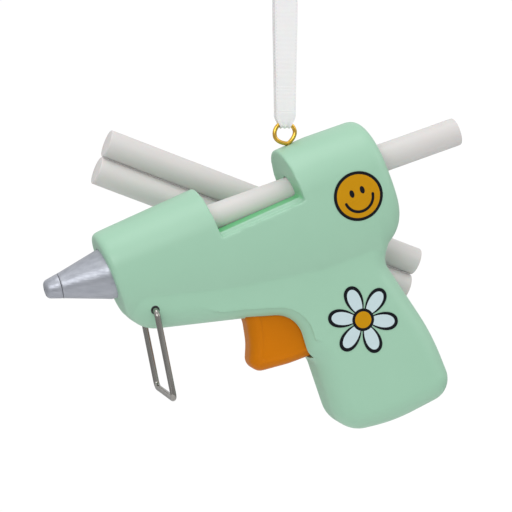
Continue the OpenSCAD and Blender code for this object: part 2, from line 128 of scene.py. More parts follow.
# %% Lathe, bar and plate helpers
def lathe(profile, steps=64):
    bm = bmesh.new()
    points = [bm.verts.new((r, 0, z)) for r, z in profile]
    edges = [bm.edges.new(pair) for pair in zip(points, points[1:])]
    bmesh.ops.spin(bm, geom=points + edges, cent=(0, 0, 0), axis=(0, 0, 1), angle=math.tau,
                   steps=steps, use_merge=True)
    bmesh.ops.remove_doubles(bm, verts=bm.verts[:], dist=1e-5)
    return bm


def bar(radius, start, end, edge=0.0, segments=48):
    bm = bmesh.new()
    bmesh.ops.create_circle(bm, cap_ends=True, segments=segments, radius=radius)
    length = (Vector(end) - Vector(start)).length
    grown = bmesh.ops.extrude_face_region(bm, geom=bm.faces[:])
    lifted = [v for v in grown["geom"] if isinstance(v, bmesh.types.BMVert)]
    bmesh.ops.translate(bm, verts=lifted, vec=(0, 0, length))
    if edge:
        rims = [e for e in bm.edges if abs(e.verts[0].co.z - e.verts[1].co.z) < 1e-6]
        bmesh.ops.bevel(bm, geom=rims, offset=edge, offset_type="OFFSET", segments=4, profile=0.5,
                        affect="EDGES", material=-1, clamp_overlap=True)
    turn = (Vector(end) - Vector(start)).to_track_quat("Z", "Y").to_matrix().to_4x4()
    bm.transform(Matrix.Translation(start) @ turn)
    return bm


def rounded_outline(corners, finest=7):
    """A face in the XZ plane; each corner is x, z and the radius of the arc that rounds it."""
    points = []
    for i, (x, z, radius) in enumerate(corners):
        here = Vector((x, z))
        before = (Vector(corners[i - 1][:2]) - here).normalized()
        after = (Vector(corners[(i + 1) % len(corners)][:2]) - here).normalized()
        turn = math.pi - before.angle(after)
        middle = here + (before + after).normalized() * radius / math.cos(turn / 2)
        first = here + before * radius * math.tan(turn / 2) - middle
        last = here + after * radius * math.tan(turn / 2) - middle
        steps = max(2, int(math.degrees(turn) / finest), int(turn * radius / 0.9))
        for k in range(steps + 1):
            points.append(middle + first.lerp(last, k / steps).normalized() * radius)
    bm = bmesh.new()
    bm.faces.new([bm.verts.new((x, 0, z)) for x, z in points])
    return bm


def plate(corners, half, rim=0.0, steps=6, finest=7):
    bm = rounded_outline(corners, finest)
    bmesh.ops.translate(bm, verts=bm.verts[:], vec=(0, -half, 0))
    grown = bmesh.ops.extrude_face_region(bm, geom=bm.faces[:])
    lifted = [v for v in grown["geom"] if isinstance(v, bmesh.types.BMVert)]
    bmesh.ops.translate(bm, verts=lifted, vec=(0, 2 * half, 0))
    if rim:
        rims = [e for e in bm.edges if abs(e.verts[0].co.y - e.verts[1].co.y) < 1e-6]
        bmesh.ops.bevel(bm, geom=rims, offset=rim, offset_type="OFFSET", segments=steps,
                        profile=0.5, affect="EDGES", material=-1, clamp_overlap=False)
    return bm


def block(low, high):
    bm = bmesh.new()
    bmesh.ops.create_cube(bm, size=1)
    low, high = Vector(low), Vector(high)
    bmesh.ops.scale(bm, verts=bm.verts[:], vec=high - low)
    bmesh.ops.translate(bm, verts=bm.verts[:], vec=(low + high) / 2)
    return bm


print("helpers ready")

# %% [markdown]
# ## Finishes
# Each finish is a small node tree on Object coordinates. A wide, faint noise varies the colour as a
# sprayed or moulded surface does, and a fine noise drives the bump. Numbers that are the same all
# over are set on the shader itself.

# %% A finish builder
def finish(name, colour, second, patch=0.006, roughness=0.45, bump=0.1, grain=0.0004,
           stretch=(1, 1, 1), rough_span=0.1, **shader_values):
    material = bpy.data.materials.new(name)
    material.use_nodes = True
    nodes, links = material.node_tree.nodes, material.node_tree.links
    shader = nodes["Principled BSDF"]
    for socket, value in shader_values.items():
        shader.inputs[socket.replace("_", " ")].default_value = value
    place = nodes.new("ShaderNodeTexCoord")
    turn = nodes.new("ShaderNodeMapping")
    turn.inputs["Rotation"].default_value = (0, TILT, 0)
    turn.inputs["Scale"].default_value = stretch
    links.new(place.outputs["Object"], turn.inputs["Vector"])
    wide = nodes.new("ShaderNodeTexNoise")
    wide.inputs["Scale"].default_value = 1 / patch
    wide.inputs["Detail"].default_value = 3
    links.new(turn.outputs["Vector"], wide.inputs["Vector"])
    tint = nodes.new("ShaderNodeMix")
    tint.data_type = "RGBA"
    tint.inputs["A"].default_value = (*colour, 1)
    tint.inputs["B"].default_value = (*second, 1)
    links.new(wide.outputs["Fac"], tint.inputs["Factor"])
    links.new(tint.outputs["Result"], shader.inputs["Base Color"])
    fine = nodes.new("ShaderNodeTexNoise")
    fine.inputs["Scale"].default_value = 1 / grain
    fine.inputs["Detail"].default_value = 4
    links.new(turn.outputs["Vector"], fine.inputs["Vector"])
    gloss = nodes.new("ShaderNodeMapRange")
    gloss.inputs["To Min"].default_value = roughness - rough_span / 2
    gloss.inputs["To Max"].default_value = roughness + rough_span / 2
    links.new(fine.outputs["Fac"], gloss.inputs["Value"])
    links.new(gloss.outputs["Result"], shader.inputs["Roughness"])
    relief = nodes.new("ShaderNodeBump")
    relief.inputs["Strength"].default_value = bump
    relief.inputs["Distance"].default_value = 0.00005
    links.new(fine.outputs["Fac"], relief.inputs["Height"])
    links.new(relief.outputs["Normal"], shader.inputs["Normal"])
    print("finish:", name)
    return material

# %% [markdown]
# ### The finishes of this object
# Mint paint is soft and matt with a faint orange peel. The silver paint on the nozzle is metallic and
# streaked along its length. Glue is milky, so light enters it a little. Gold and steel are bright, and
# the steel's colour runs in dark and bright streaks along the wire, which are painted reflections.

# %% Make the finishes
mint = finish("mint_paint", (0.32, 0.56, 0.405), (0.34, 0.58, 0.425), patch=0.012, roughness=0.4,
              bump=0.12, grain=0.0006, rough_span=0.06, Specular_IOR_Level=0.6)
silver = finish("silver_paint", (0.28, 0.295, 0.34), (0.50, 0.52, 0.57), patch=0.0011,
                roughness=0.4, bump=0.9, grain=0.00035, stretch=(0.16, 1, 1), rough_span=0.3,
                Metallic=0.7)
orange = finish("orange_enamel", (0.57, 0.165, 0.002), (0.63, 0.19, 0.003), patch=0.008,
                roughness=0.34, bump=0.1, grain=0.0005, rough_span=0.08, Specular_IOR_Level=0.08)
glue = finish("milky_glue", (0.625, 0.60, 0.585), (0.68, 0.66, 0.65), patch=0.01, roughness=0.42,
              bump=0.15, grain=0.0009, stretch=(0.12, 1, 1), rough_span=0.12,
              Subsurface_Weight=0.1, Subsurface_Scale=0.0006)
# The steel's wide dark-to-bright colour streaks along the wire are painted reflections of polished
# wire.
steel = finish("steel_painted_reflections", (0.20, 0.19, 0.17), (0.50, 0.49, 0.47), patch=0.002, roughness=0.16,
               bump=0.12, grain=0.0005, stretch=(1, 1, 0.08), rough_span=0.08, Metallic=1.0)
gold = finish("gold_plate", (0.72, 0.43, 0.06), (0.80, 0.50, 0.09), patch=0.002, roughness=0.2,
              bump=0.08, grain=0.0003, rough_span=0.08, Metallic=1.0)
alloy = finish("turned_alloy", (0.62, 0.62, 0.63), (0.72, 0.72, 0.72), patch=0.002, roughness=0.35,
               bump=0.4, grain=0.0002, stretch=(6, 1, 1), rough_span=0.15, Metallic=1.0)
seal_red = finish("silicone_seal", (0.40, 0.06, 0.03), (0.46, 0.08, 0.04), roughness=0.55)
rubber = finish("black_rubber", (0.025, 0.025, 0.027), (0.04, 0.04, 0.042), roughness=0.6, bump=0.3)
dark_plastic = finish("dark_moulding", (0.05, 0.055, 0.07), (0.07, 0.075, 0.09), roughness=0.5,
                      bump=0.25)
ink = finish("black_ink", (0.005, 0.006, 0.009), (0.008, 0.009, 0.012), roughness=0.5, bump=0.05,
             Specular_IOR_Level=0.1)
mustard = finish("mustard_print", (0.53, 0.25, 0.001), (0.57, 0.27, 0.002), roughness=0.5,
                 bump=0.05, Specular_IOR_Level=0.12)
petal_white = finish("petal_print", (0.52, 0.65, 0.68), (0.56, 0.69, 0.72), roughness=0.5,
                     bump=0.05, Specular_IOR_Level=0.3)

# %% [markdown]
# ## The ribbon
# A satin ribbon, a quarter of an inch wide, is threaded through the ring and sewn into a loop. It is
# a free cord of known length, so it follows the measured model's own line: up the front ply, over the
# top, and down the back ply. Its width narrows where the ring gathers it, and it folds into pleats
# there.

# %% The ribbon's line and width
RIBBON_LINE = [  # across, height above the ring's centre, half width, in millimetres
    (0, 1.25, 1.15), (-0.75, 1.6, 1.25), (-1.05, 2.5, 1.75), (-1.2, 4, 2.45), (-1.3, 6, 2.5),
    (-1.3, 12, 2.6), (-1.3, 20, 2.75), (-1.3, 28, 2.9), (-1.3, 36, 2.95), (-1.6, 39, 2.95),
    (-2.2, 41.5, 2.95), (-2.4, 43.5, 2.95), (-1.7, 45.2, 2.95), (0, 46, 2.95)]
ribbon_way = [Vector(p) for p in RIBBON_LINE]
ribbon_way += [Vector((-y, z, w)) for y, z, w in reversed(RIBBON_LINE[:-1])]


def along(points, share):
    """A smooth point on a run of points, at a share of its length."""
    spans = [(b - a).length for a, b in zip(points, points[1:])]
    left = share * sum(spans)
    for i, span in enumerate(spans):
        if left <= span or i == len(spans) - 1:
            break
        left -= span
    t = min(1, left / span)
    p0, p1, p2, p3 = (points[max(0, min(len(points) - 1, k))] for k in (i - 1, i, i + 1, i + 2))
    return 0.5 * (2 * p1 + (p2 - p0) * t + (2 * p0 - 5 * p1 + 4 * p2 - p3) * t * t
                  + (3 * p1 - p0 - 3 * p2 + p3) * t ** 3)


ROWS, COLUMNS = 260, 24
ribbon_rows = [along(ribbon_way, i / ROWS) for i in range(ROWS + 1)]

# %% Weave the ribbon's sheet
ribbon_bm = bmesh.new()
ribbon_bm.loops.layers.uv.new("weave")
bmesh.ops.create_grid(ribbon_bm, x_segments=COLUMNS, y_segments=ROWS, size=1, calc_uvs=True)
for v in ribbon_bm.verts:
    across = v.co.x
    row = round((v.co.y + 1) / 2 * ROWS)
    here = ribbon_rows[row]
    step = ribbon_rows[min(ROWS, row + 1)] - ribbon_rows[max(0, row - 1)]
    out = Vector((0, -step.y, step.x)).normalized()
    gather = max(0.0, 1 - here.z / 2.6)
    pleat = gather * 0.26 * math.cos(across * 6) - 0.05 * (1 - across * across)
    v.co = Vector((across * here.z, here.x, here.y)) + out * pleat
print("ribbon rows:", ROWS)

# %% [markdown]
# The satin's weave runs on the ribbon's own UV map. Fine wefts give the bump, and a row of small
# dots along each edge is the woven selvedge. A little sheen lights the edges of the cloth.

# %% The satin finish
satin = bpy.data.materials.new("white_satin")
satin.use_nodes = True
satin_nodes, satin_links = satin.node_tree.nodes, satin.node_tree.links
satin_shader = satin_nodes["Principled BSDF"]
for socket, value in {"Roughness": 0.5, "Sheen Weight": 0.3, "Sheen Roughness": 0.4,
                      "Specular IOR Level": 0.3, "Subsurface Weight": 0.1,
                      "Subsurface Scale": 0.001}.items():
    satin_shader.inputs[socket].default_value = value


def satin_node(kind, **values):
    node = satin_nodes.new(kind)
    for key, value in values.items():
        if hasattr(node, key):
            setattr(node, key, value)
        else:
            node.inputs[key].default_value = value
    return node


weave_uv = satin_node("ShaderNodeUVMap", uv_map="weave")
weave_parts = satin_node("ShaderNodeSeparateXYZ")
satin_links.new(weave_uv.outputs["UV"], weave_parts.inputs["Vector"])


def satin_math(operation, first, second):
    node = satin_node("ShaderNodeMath", operation=operation)
    for socket, value in zip(node.inputs, (first, second)):
        if isinstance(value, (int, float)):
            socket.default_value = value
        else:
            satin_links.new(value, socket)
    return node.outputs[0]


weft = satin_math("SINE", satin_math("MULTIPLY", weave_parts.outputs["Y"], 1900.0), 0.0)
warp = satin_math("SINE", satin_math("MULTIPLY", weave_parts.outputs["X"], 190.0), 0.0)
from_middle = satin_math("ABSOLUTE", satin_math("SUBTRACT", weave_parts.outputs["X"], 0.5), 0.0)
at_edge = satin_math("LESS_THAN", satin_math("ABSOLUTE", satin_math(
    "SUBTRACT", from_middle, 0.44), 0.0), 0.022)
dots = satin_math("MULTIPLY", at_edge, satin_math("GREATER_THAN", satin_math(
    "SINE", satin_math("MULTIPLY", weave_parts.outputs["Y"], 760.0), 0.0), 0.25))
satin_tint = satin_node("ShaderNodeMix", data_type="RGBA")
satin_tint.inputs["A"].default_value = (0.87, 0.86, 0.865, 1)
satin_tint.inputs["B"].default_value = (0.76, 0.76, 0.77, 1)
satin_links.new(dots, satin_tint.inputs["Factor"])
satin_links.new(satin_tint.outputs["Result"], satin_shader.inputs["Base Color"])
satin_relief = satin_node("ShaderNodeBump", Strength=0.35, Distance=0.00006)
satin_links.new(satin_math("ADD", weft, satin_math("MULTIPLY", warp, 0.4)),
                satin_relief.inputs["Height"])
satin_links.new(satin_relief.outputs["Normal"], satin_shader.inputs["Normal"])
print("satin nodes:", len(satin_nodes))

# %% Hang the ribbon
bmesh.ops.recalc_face_normals(ribbon_bm, faces=ribbon_bm.faces[:])
bmesh.ops.solidify(ribbon_bm, geom=ribbon_bm.faces[:], thickness=0.28)
ribbon = finished("ribbon", ribbon_bm, HANG, "hanger", [satin], ["ribbon_loop"], sharp=60)

# %% [markdown]
# ## The body: barrel, collar, keel and grip
# The real body is a rounded barrel with a larger collar at its rear, blended over a flat keel that
# becomes the grip. The barrel is made as rings along X, bridged into a skin. The keel and grip are
# one thick plate with a wide rounded rim.

# %% The barrel's measures along X
FRONT, COLLAR, REAR = -53.0, -2.6, 20.6
SLOT = -25.2
TOP = [(FRONT, 6.3), (SLOT, 8.7), (COLLAR, 10.9), (COLLAR + 8, 11.5), (REAR, 11.5)]
MIDDLE = [(FRONT, -2.4), (SLOT, -1), (COLLAR, 0), (REAR, 0)]
BOTTOM = [(FRONT, -16), (SLOT, -22), (COLLAR, -25.5), (REAR - 8, -25), (REAR - 5.5, -21.2),
          (REAR - 3, -19.2), (REAR, -16.2)]
HALF_WIDTH = [(FRONT, 9.3), (SLOT, 10.8), (COLLAR, 11.3), (REAR, 11.3)]
LEAN = [(FRONT, -0.066), (SLOT, 0), (COLLAR, 0), (REAR, -0.08)]
FORWARD = [(FRONT, 0.4), (SLOT, 0)]


def at(x, table):
    for (x0, v0), (x1, v1) in zip(table, table[1:]):
        if x <= x1:
            return v0 + (v1 - v0) * max(0.0, x - x0) / (x1 - x0)
    return table[-1][1]


def ring_point(x, inset, turn):
    c, s = math.cos(turn), math.sin(turn)
    power = 1 if s >= 0 else 0.77
    middle = at(x, MIDDLE)
    y = (at(x, HALF_WIDTH) - inset) * math.copysign(abs(c) ** power, c)
    reach = at(x, TOP) - inset - middle if s >= 0 else middle - at(x, BOTTOM) - inset
    z = middle + reach * math.copysign(abs(s) ** power, s)
    return Vector((x + at(x, LEAN) * z - at(x, FORWARD), y, z))


def barrel_skin(stations, segments=96):
    bm = bmesh.new()
    loops = []
    for x, inset in stations:
        ring = bmesh.ops.create_circle(bm, cap_ends=False, segments=segments, radius=1)["verts"]
        for i, v in enumerate(ring):
            v.co = ring_point(x, inset, math.tau * (i + 0.5) / segments)
        loops.append(list({e for v in ring for e in v.link_edges}))
    for first, second in zip(loops, loops[1:]):
        bmesh.ops.bridge_loops(bm, edges=first + second)
    for end in (loops[0], loops[-1]):
        bmesh.ops.contextual_create(bm, geom=end)
    bmesh.ops.recalc_face_normals(bm, faces=bm.faces[:])
    return bm


middle_stations = [(x, 0) for x in (FRONT + 8, FRONT + 18, SLOT, -14, COLLAR, 1.5, COLLAR + 8,
                                    REAR - 9, REAR - 8, REAR - 7, REAR - 5.5, REAR - 4.2)]
front_rim = [(FRONT, 1.5), (FRONT + 0.1, 0.95), (FRONT + 0.35, 0.5), (FRONT + 0.75, 0.2),
             (FRONT + 1.4, 0.04), (FRONT + 3, 0)]
rear_rim = [(REAR - 3.2, 0), (REAR - 2.2, 0.15), (REAR - 1.4, 0.5), (REAR - 0.7, 1.15),
            (REAR - 0.25, 1.9), (REAR, 2.9)]
barrel = barrel_skin(front_rim + middle_stations + rear_rim)
print("barrel faces:", len(barrel.faces))

# %% The keel and grip plate
GRIP_END = -64.8
KEEL = [(FRONT + 2.6, -3, 5), (FRONT + 0.3, -9, 5), (FRONT + 1.2, -19.3, 8.2), (-25.5, -25.6, 20),
        (-12.7, -29.4, 6.5), (-12.8, -39.6, 5), (-10.9, -42.6, 4), (-10.5, GRIP_END + 2.5, 8.2),
        (4, GRIP_END + 0.5, 45), (REAR + 1.3, GRIP_END + 2.6, 6), (REAR - 0.1, -46, 60),
        (REAR - 6.4, -24.6, 4.2), (REAR - 3.7, -19.2, 5), (REAR - 5, -3, 5)]
KEEL_HALF, KEEL_RIM = 8.4, 5.4
keel = plate(KEEL, KEEL_HALF, rim=KEEL_RIM, steps=10, finest=5)
print("keel faces:", len(keel.faces))

# %% [markdown]
# ### Cut, blend and smooth
# The slot is cut from the barrel while it is still simple. A fine voxel remesh then makes one skin
# of the barrel and the keel, and a few rounds of smoothing turn the sharp creases and rims into the
# soft ones of a thickly painted casting.

# %% Boolean and remesh helpers
def as_object(name, bm):
    bmesh.ops.recalc_face_normals(bm, faces=bm.faces[:])
    mesh = bpy.data.meshes.new(name)
    bm.to_mesh(mesh)
    bm.free()
    thing = bpy.data.objects.new(name, mesh)
    bpy.context.scene.collection.objects.link(thing)
    return thing


def applied(thing):
    graph = bpy.context.evaluated_depsgraph_get()
    mesh = bpy.data.meshes.new_from_object(thing.evaluated_get(graph))
    old = thing.data
    thing.modifiers.clear()
    thing.data = mesh
    bpy.data.meshes.remove(old)


def cut(thing, cutter_bm, operation="DIFFERENCE", overlapping=False):
    cutter = as_object("cutter", cutter_bm)
    step = thing.modifiers.new("cut", "BOOLEAN")
    step.object = cutter
    step.operation = operation
    step.solver = "EXACT"
    step.use_self = overlapping
    applied(thing)
    bpy.data.meshes.remove(cutter.data)


def one_skin(thing, voxel, soft_rounds=0):
    """Remesh a thing into a single skin, and soften its edges by some rounds of smoothing."""
    remesh = thing.modifiers.new("one skin", "REMESH")
    remesh.mode = "VOXEL"
    remesh.voxel_size = voxel
    if soft_rounds:
        soften = thing.modifiers.new("soften", "SMOOTH")
        soften.factor = 0.5
        soften.iterations = soft_rounds
    applied(thing)


# %% Blend the body's skin
FLOOR_RISE = Matrix.Translation((SLOT, 0, -2.5)) @ Matrix.Rotation(math.radians(-4.4), 4, "Y")


OPENING = [(-24.6, -18, 0.5), (-24.6, -30, 0.5), (-15, -41.05, 0.5), (-4.8, -41.05, 0.5),
           (-4.8, -18, 0.5)]
slot_space = block((0, -20, 0), (22.667, 20, 30))
for side in (-1, 1):
    joined(slot_space, block((0, min(side * 9.5, side * 20), -1.1),
                             (22.667, max(side * 9.5, side * 20), 1)))
slot_space.transform(FLOOR_RISE)
body = as_object("body", barrel)
cut(body, slot_space, overlapping=True)
keel_part = as_object("keel", keel)
blend = bmesh.new()
blend.from_mesh(body.data)
blend.from_mesh(keel_part.data)
blend.to_mesh(body.data)
blend.free()
bpy.data.objects.remove(keel_part)
BODY_VOXEL = 0.32
one_skin(body, BODY_VOXEL, soft_rounds=5)
skin_tree = bmesh.new()
skin_tree.from_mesh(body.data)
near_skin = BVHTree.FromBMesh(skin_tree)
print("skin faces:", len(skin_tree.faces))
skin_tree.free()

# %% [markdown]
# ### Bore the body and part it
# The body is two halves that close round the works. All the rooms inside are gathered into one
# tool: the nozzle's seat, the melt chamber, the stick's guides, the carriage's room, the arm's and
# the spring's rooms, the bush and screw holes and the ring's shank. One cut takes them out of the
# smooth skin, so that their rims stay crisp, and a cut along the middle plane parts the halves.

# %% Gather the rooms
ON_NOZZLE = Matrix.Translation((FRONT - 0.32, 0, -4)) @ Matrix.Rotation(
    math.radians(-90 + 4.6), 4, "Y")
SCREWS = [(FRONT + 18.5, -17.8), (REAR - 6.2, -13.6), (9.2, -31.5), (4, GRIP_END + 9.5)]
STAND = (FRONT + 7, -15.2)
PIN = (-19.5, -21.8)
CLIP = (-8.5 + 15 * math.cos(math.radians(39.4)), -6.4 - 15 * math.sin(math.radians(39.4)))


def cross_bar(spot, radius, y0, y1, segments=32, edge=0.0):
    return bar(radius, (spot[0], y0, spot[1]), (spot[0], y1, spot[1]), edge, segments)


def on_nozzle(bm):
    bm.transform(ON_NOZZLE)
    return bm


rooms = [on_nozzle(bar(6.45, (0, 0, -1.2), (0, 0, 6), segments=64)),
         on_nozzle(bar(4.0, (0, 0, -6.4), (0, 0, 0), segments=48)),
         bar(4.9, (-49.4, 0, 0), (-25.9, 0, 0)), bar(4.9, (-49.3, 0, -4.3), (-40.9, 0, -4.3)),
         block((-49.2, -4.85, -4.3), (-41.0, 4.85, 0)),
         bar(3.9, (-26.5, 0, 0), (30, 0, 0), segments=64), bar(5.72, (-1, 0, 0), (13.3, 0, 0)),
         bar(5.3, (REAR - 5, 0, 0), (30, 0, 0), segments=64),
         cross_bar(STAND, 1.1, -20, 20), cross_bar(PIN, 1.5, -7.5, 7.5),
         block((-24.5, -1.8, -12.4), (13, 3.2, -5.8)), block((-23.9, -1.81, -19), (-12.9, 1.81, -12)),
         bar(2.8, (-6, 0, -34), (3.4, 0, -34), segments=32),
         bar(0.775, (0.4, 0, 5.7), (0.4, 0, 20), segments=24),
         plate(OPENING, 5.5), cross_bar(CLIP, 1.5, 6.5, 20, 24)]
for screw in SCREWS:
    rooms += [cross_bar(screw, 1.25, -5.6, 20, 24), cross_bar(screw, 2.3, 4.4, 20)]
hollows = as_object("rooms", rooms.pop(0))
for room in rooms:
    cut(hollows, room, "UNION")
print("rooms:", len(rooms) + 1, "faces:", len(hollows.data.polygons))

# %% Cut the rooms out
room_tool = bmesh.new()
room_tool.from_mesh(hollows.data)
bpy.data.objects.remove(hollows)
cut(body, room_tool)
print("bored body faces:", len(body.data.polygons))


# %% Part the halves
def half(side):
    bm = bmesh.new()
    bm.from_mesh(body.data)
    bmesh.ops.bisect_plane(bm, geom=bm.verts[:] + bm.edges[:] + bm.faces[:], dist=1e-5,
                           plane_co=(0, 0, 0), plane_no=(0, side, 0), clear_inner=True)
    rim = [e for e in bm.edges if e.is_boundary]
    bmesh.ops.triangle_fill(bm, edges=rim, use_beauty=True, normal=(0, -side, 0))
    print("half", side, "open edges:", sum(1 for e in bm.edges if not e.is_manifold))
    return bm


# %% [markdown]
# ### Painted shade in the slot
# The slot's floor and its corner against the collar lie in shade beside the stick, and that shade is
# painted into the mint as a deeper green. An attribute on the skin says how deep in that corner a
# point lies, and the paint reads it.

# %% Mark the painted shade
def mark_painted_shade(bm):
    # This weight says where painted shade darkens the slot's floor and the corner at the collar.
    painted_shade = bm.verts.layers.float.new("painted_shade")
    flat = FLOOR_RISE.inverted()
    for v in bm.verts:
        spot = flat @ v.co
        on_floor = 1 - min(1, max(0, abs(spot.z) - 0.15) / 0.7) if -0.5 < spot.x < 22.9 else 0
        inwards = 1 - min(1, max(0, abs(v.co.y) - 8.3) / 1.0)
        to_collar = max(0, 1 - abs(spot.x - 22.3) / 0.9) * max(0, 1 - abs(spot.z - 0.4) / 5)
        to_collar *= 1 if spot.z > -0.4 and abs(v.co.y) < 10 else 0
        v[painted_shade] = max(0.0, min(1.0, max(on_floor * inwards, 0.85 * to_collar)))
    return bm


mint_nodes, mint_links = mint.node_tree.nodes, mint.node_tree.links
painted_shade_mix = mint_nodes.new("ShaderNodeMix")
painted_shade_mix.data_type = "RGBA"
# The deeper green is painted shade on the slot's floor and in its corner at the collar.
painted_shade_mix.inputs["B"].default_value = (0.115, 0.50, 0.20, 1)
painted_shade_depth = mint_nodes.new("ShaderNodeAttribute")
painted_shade_depth.attribute_name = "painted_shade"
mint_shader = mint_nodes["Principled BSDF"]
mint_links.new(mint_shader.inputs["Base Color"].links[0].from_socket, painted_shade_mix.inputs["A"])
mint_links.new(painted_shade_depth.outputs["Fac"], painted_shade_mix.inputs["Factor"])
mint_links.new(painted_shade_mix.outputs["Result"], mint_shader.inputs["Base Color"])
finished("left_body_half", mark_painted_shade(half(-1)), GUN, "gun", [mint], ["left_shell"],
                     sharp=42)
finished("right_body_half", mark_painted_shade(half(1)), GUN, "gun", [mint], ["right_shell"],
                      sharp=42)
bpy.data.objects.remove(body)

# %% [markdown]
# ## The nozzle and its tip
# The nozzle is a lathe turning: a straight cone on a seat that sinks into the body, and a rounded tip
# cap that carries the same taper on past a fine seam. The profile is spun about the nozzle's own axis.

# %% Turn the nozzle and the tip
nozzle_profile = [(3.2, -6), (4.0, -6), (4.0, -1.2), (6.45, -1.2), (6.45, 0.3), (6.36, 0.6),
                  (5.72, 2.8), (4.88, 5.7), (4.02, 8.7), (3.26, 11.4), (3.2, 11.76), (3.1, 11.88),
                  (1.8, 11.88), (1.8, 13.6), (0.75, 13.6), (0.75, 10.8), (3.2, -2), (3.2, -6)]
nozzle_bm = lathe(nozzle_profile, 96)
for v in nozzle_bm.verts:
    swell = 1 + 0.006 * random_field.noise(v.co * 0.5)
    v.co.x *= swell
    v.co.y *= swell
finished("nozzle", nozzle_bm, GUN @ ON_NOZZLE, "gun", [silver], ["nozzle"])
tip_profile = [(1.8, 11.98), (3.0, 11.98), (3.06, 12.02), (3.08, 12.12), (2.86, 13.0), (2.6, 14.0),
               (2.42, 14.7), (2.26, 15.15), (1.98, 15.5), (1.6, 15.72), (1.2, 15.8), (0.88, 15.8),
               (0.75, 15.7), (0.75, 13.6), (1.8, 13.6), (1.8, 11.98)]
finished("nozzle_tip", lathe(tip_profile, 96), GUN @ ON_NOZZLE, "gun", [silver],
               ["nozzle_tip"])

# %% [markdown]
# ## The trigger
# The trigger is a thick plate with a hollowed front for the finger, wide soft rims and a shallow
# panel in each side. Its arm goes up inside the body to the feed link, and a short post holds the
# spring.

# %% Shape the trigger
TRIGGER = [(-24.3, -20.5, 3.2), (-24.2, -28, 5), (-25, -33, 14), (-27.7, -39.9, 2.9),
           (-17, -40.9, 20), (-8.8, -40.85, 2), (-8.8, -31, 3.4), (PIN[0] + 4.6, -22, 3.4),
           (PIN[0], PIN[1] + 4.2, 3.4)]
ARM = (PIN[0] + 12.8 * math.sin(math.radians(6)), PIN[1] + 12.8 * math.cos(math.radians(6)))
PANEL = [(-21.2, -24, 1), (-21.2, -28, 4), (-22.1, -33, 14), (-24.4, -37.6, 1.2), (-17, -38.5, 20),
         (-5, -38.3, 1), (-5, -24, 1)]
TRIGGER_VOXEL = 0.22
PANEL_OFF = 5.85
trigger_thing = as_object("trigger_form", plate(TRIGGER, 5.2, rim=3.4, steps=10, finest=4))
one_skin(trigger_thing, TRIGGER_VOXEL)
for side in (-1, 1):
    recess = plate(PANEL, 1)
    bmesh.ops.translate(recess, verts=recess.verts[:], vec=(0, side * PANEL_OFF, 0))
    cut(trigger_thing, recess)
one_skin(trigger_thing, TRIGGER_VOXEL, soft_rounds=6)
arm = plate([(ARM[0] - 2.1, ARM[1], 0.1), (PIN[0] - 2.4, PIN[1], 0.1), (PIN[0] + 2.6, PIN[1], 0.1),
             (ARM[0] + 2.1, ARM[1], 0.1)], 1.5)
for extra in (arm, cross_bar(ARM, 2.2, -1.5, 1.5), bar(1.6, (-9.3, 0, -34), (-7.35, 0, -34), 0.3)):
    cut(trigger_thing, extra, "UNION")
for hole in (cross_bar(PIN, 1.55, -9, 9, 48), cross_bar(ARM, 1.14, -5, 5)):
    cut(trigger_thing, hole)
trigger_bm = bmesh.new()
trigger_bm.from_mesh(trigger_thing.data)
bpy.data.objects.remove(trigger_thing)
finished("trigger", trigger_bm, GUN, "trigger", [orange], ["trigger"], sharp=30)

# %% [markdown]
# ## Wire parts
# The stand and the screw eye are bent from round wire. A curve with a round bevel follows the wire's
# middle line, and becomes a mesh before it is placed.

# %% A wire helper
def wire(points, radius, closed=False, rings=10):
    curve = bpy.data.curves.new("wire", "CURVE")
    curve.dimensions = "3D"
    curve.bevel_depth = radius
    curve.bevel_resolution = rings
    curve.use_fill_caps = not closed
    spline = curve.splines.new("POLY")
    spline.points.add(len(points) - 1)
    for knot, spot in zip(spline.points, points):
        knot.co = (*spot, 1)
    spline.use_cyclic_u = closed
    thing = bpy.data.objects.new("wire", curve)
    bpy.context.scene.collection.objects.link(thing)
    mesh = bpy.data.meshes.new_from_object(thing.evaluated_get(
        bpy.context.evaluated_depsgraph_get()))
    bm = bmesh.new()
    bm.from_mesh(mesh)
    bpy.data.objects.remove(thing)
    bpy.data.meshes.remove(mesh)
    bmesh.ops.remove_doubles(bm, verts=bm.verts[:], dist=1e-5)
    return bm


def bend(middle, first, second, radius, steps=10):
    """Points of a quarter bend round a middle, from the first direction to the second."""
    first, second = Vector(first), Vector(second)
    return [Vector(middle) + radius * (first * math.cos(t) + second * math.sin(t))
            for t in (math.pi / 2 * k / steps for k in range(steps + 1))]


# %% Bend the stand
STAND_LEAN = Matrix.Translation((STAND[0], 0, STAND[1])) @ Matrix.Rotation(math.radians(6.8), 4, "Y")
side_y, leg, turn = 9.65, 22.4, 1.6
one_side = [Vector((0, 6.0, 0))]
one_side += bend((0, side_y - turn, -turn), (0, 0, 1), (0, 1, 0), turn)
one_side += bend((0, side_y - turn, -leg + turn), (0, 1, 0), (0, 0, -1), turn)
stand_line = one_side + [Vector((x, -y, z)) for x, y, z in reversed(one_side)]
finished("wire_stand", wire(stand_line, 0.75, rings=8), GUN @ STAND_LEAN, "stand", [steel],
                 ["wire_stand"], sharp=60)

# %% [markdown]
# The ring is drawn down to a slight point where it joins its shank, as a bent screw eye is, and the
# shank's thread holds it between the body's halves.

